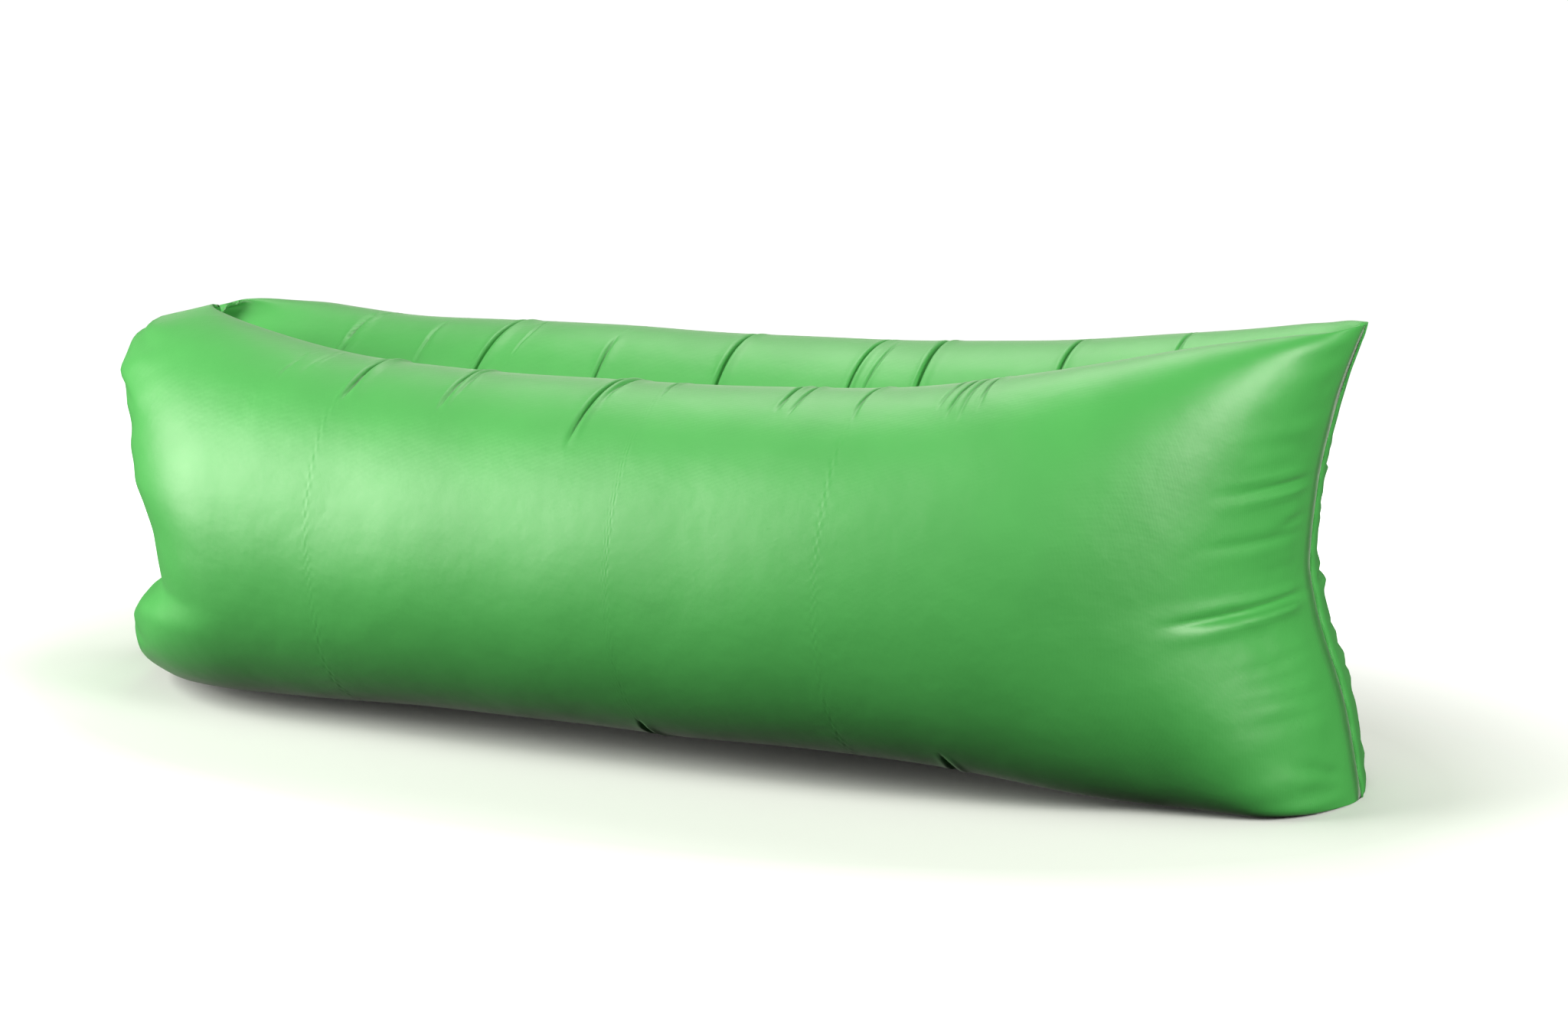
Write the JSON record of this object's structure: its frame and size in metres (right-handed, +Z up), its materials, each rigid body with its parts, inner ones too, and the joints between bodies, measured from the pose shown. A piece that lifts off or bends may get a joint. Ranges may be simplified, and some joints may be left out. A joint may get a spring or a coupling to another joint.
{
  "type": "inflatable air lounger",
  "caption": "Two air-filled fabric tubes side by side with a lying trough between them, a seamed foot end and a rolled, buckled mouth.",
  "frame": {"origin": "on the floor, under the middle of the overall box", "axes": "+X to the closed foot end, +Y across to the back tube, +Z up"},
  "size_m": [1.8797, 0.7772, 0.606],
  "materials": {
    "shell_nylon": "satin woven nylon",
    "liner_film": "thin clear polyethylene film",
    "binding_tape": "narrow woven tape",
    "strip_plastic": "flexible flat strip",
    "webbing": "ribbed polypropylene webbing",
    "thread": "polyester thread",
    "buckle_plastic": "fine moulded texture"
  },
  "bodies": {
    "lounger": {"front_tube_shell": "shell_nylon", "back_tube_shell": "shell_nylon", "front_air_liner": "liner_film", "back_air_liner": "liner_film", "centre_seam_tape": "binding_tape", "foot_end_binding": "binding_tape", "mouth_collar": "shell_nylon", "rolled_mouth": "shell_nylon", "lip_strip_inner": "strip_plastic", "lip_strip_outer": "strip_plastic", "upper_buckle_webbing": "webbing", "lower_buckle_webbing": "webbing", "bar_tack_stitching": "thread", "buckle_socket": "buckle_plastic"},
    "plug": {"buckle_plug": "buckle_plastic"},
    "inner_prong": {"buckle_prong_inner": "buckle_plastic"},
    "outer_prong": {"buckle_prong_outer": "buckle_plastic"}
  },
  "joints": [
    {"name": "plug_pull", "type": "slide", "parent": "lounger", "child": "plug", "axis": [0, 0, 1], "range_m": [0, 0.003]},
    {"name": "inner_prong_squeeze", "type": "hinge", "parent": "plug", "child": "inner_prong", "pos_m": [-0.912, 0.126, 0.35055], "axis": [0, 1, 0], "range_deg": [0, 9.1], "stiffness_Nm_per_rad": 0.3},
    {"name": "outer_prong_squeeze", "type": "hinge", "parent": "plug", "child": "outer_prong", "pos_m": [-0.934, 0.126, 0.35055], "axis": [0, -1, 0], "range_deg": [0, 9.1], "stiffness_Nm_per_rad": 0.3}
  ],
  "couplings": [
    {"joint": "inner_prong_squeeze", "follows": "plug_pull", "rad_per_m": 52.36},
    {"joint": "outer_prong_squeeze", "follows": "plug_pull", "rad_per_m": 52.36}
  ]
}
